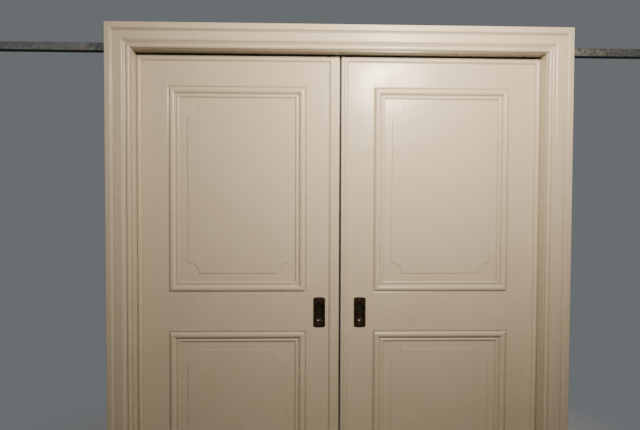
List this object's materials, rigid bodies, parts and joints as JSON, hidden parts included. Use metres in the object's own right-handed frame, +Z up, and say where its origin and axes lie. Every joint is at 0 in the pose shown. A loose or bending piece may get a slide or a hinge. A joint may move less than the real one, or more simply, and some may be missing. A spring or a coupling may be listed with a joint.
{
  "type": "double pocket doors with frame",
  "caption": "Double pocket doors: panelled leaves with flush pulls slide on a hidden overhead track behind split jambs and a moulded mitred casing.",
  "frame": {"origin": "on the floor, midway across the doorway and midway through the wall", "axes": "+X across the doorway to the right as seen from the front, +Y through the wall to the back, +Z up"},
  "size_m": [3.3896, 0.246, 2.247],
  "materials": {
    "trim_paint": "brushed cream satin paint on softwood",
    "leaf_paint": "brushed cream satin paint on softwood",
    "bare_pine": "planed, unpainted",
    "galvanised_steel": "dull zinc coating",
    "zinc_hardware": "zinc plated",
    "cast_zinc": "bare die-cast zinc",
    "dark_bronze": "dark patina on pressed brass, rubbed lighter in the cup",
    "black_rubber": "moulded, matt",
    "white_nylon": "moulded, slightly waxy"
  },
  "bodies": {
    "frame": {"jamb_front_left": "trim_paint", "jamb_front_right": "trim_paint", "jamb_back_left": "trim_paint", "jamb_back_right": "trim_paint", "head_jamb_front": "trim_paint", "head_jamb_back": "trim_paint", "casing_front_left": "trim_paint", "casing_front_right": "trim_paint", "casing_front_head": "trim_paint", "casing_back_left": "trim_paint", "casing_back_right": "trim_paint", "casing_back_head": "trim_paint", "backband_front": "trim_paint", "backband_back": "trim_paint", "header": "bare_pine", "track": "galvanised_steel", "track_screws": "zinc_hardware", "track_stops": "black_rubber", "floor_guides": "galvanised_steel"},
    "left_leaf": {"left_outer_stile": "leaf_paint", "left_meeting_stile": "leaf_paint", "left_top_rail": "leaf_paint", "left_lock_rail": "leaf_paint", "left_bottom_rail": "leaf_paint", "left_upper_panel": "leaf_paint", "left_lower_panel": "leaf_paint", "left_mouldings_front": "leaf_paint", "left_mouldings_back": "leaf_paint", "left_edge_strips_front": "leaf_paint", "left_edge_strips_back": "leaf_paint", "left_pull_front": "dark_bronze", "left_pull_back": "dark_bronze", "left_pull_screws": "dark_bronze", "left_hanger_plates": "zinc_hardware", "left_hanger_screws": "zinc_hardware", "left_hanger_bolts": "zinc_hardware", "left_trolleys": "cast_zinc"},
    "left_meeting_wheels": {"left_meeting_wheels": "white_nylon"},
    "left_outer_wheels": {"left_outer_wheels": "white_nylon"},
    "right_leaf": {"right_outer_stile": "leaf_paint", "right_meeting_stile": "leaf_paint", "right_top_rail": "leaf_paint", "right_lock_rail": "leaf_paint", "right_bottom_rail": "leaf_paint", "right_upper_panel": "leaf_paint", "right_lower_panel": "leaf_paint", "right_mouldings_front": "leaf_paint", "right_mouldings_back": "leaf_paint", "right_edge_strips_front": "leaf_paint", "right_edge_strips_back": "leaf_paint", "right_pull_front": "dark_bronze", "right_pull_back": "dark_bronze", "right_pull_screws": "dark_bronze", "right_hanger_plates": "zinc_hardware", "right_hanger_screws": "zinc_hardware", "right_hanger_bolts": "zinc_hardware", "right_trolleys": "cast_zinc"},
    "right_meeting_wheels": {"right_meeting_wheels": "white_nylon"},
    "right_outer_wheels": {"right_outer_wheels": "white_nylon"}
  },
  "joints": [
    {"name": "left_leaf_slide", "type": "slide", "parent": "frame", "child": "left_leaf", "axis": [-1, 0, 0], "range_m": [0, 0.78]},
    {"name": "left_meeting_wheels_roll", "type": "hinge", "parent": "left_leaf", "child": "left_meeting_wheels", "pos_m": [-0.077, 0, 2.1673], "axis": [0, -1, 0], "continuous": true},
    {"name": "left_outer_wheels_roll", "type": "hinge", "parent": "left_leaf", "child": "left_outer_wheels", "pos_m": [-0.8535, 0, 2.1673], "axis": [0, -1, 0], "continuous": true},
    {"name": "right_leaf_slide", "type": "slide", "parent": "frame", "child": "right_leaf", "axis": [1, 0, 0], "range_m": [0, 0.78]},
    {"name": "right_meeting_wheels_roll", "type": "hinge", "parent": "right_leaf", "child": "right_meeting_wheels", "pos_m": [0.077, 0, 2.1673], "axis": [0, 1, 0], "continuous": true},
    {"name": "right_outer_wheels_roll", "type": "hinge", "parent": "right_leaf", "child": "right_outer_wheels", "pos_m": [0.8535, 0, 2.1673], "axis": [0, 1, 0], "continuous": true}
  ],
  "couplings": [
    {"joint": "left_meeting_wheels_roll", "follows": "left_leaf_slide", "rad_per_m": 76.923},
    {"joint": "left_outer_wheels_roll", "follows": "left_leaf_slide", "rad_per_m": 76.923},
    {"joint": "right_meeting_wheels_roll", "follows": "right_leaf_slide", "rad_per_m": 76.923},
    {"joint": "right_outer_wheels_roll", "follows": "right_leaf_slide", "rad_per_m": 76.923}
  ]
}
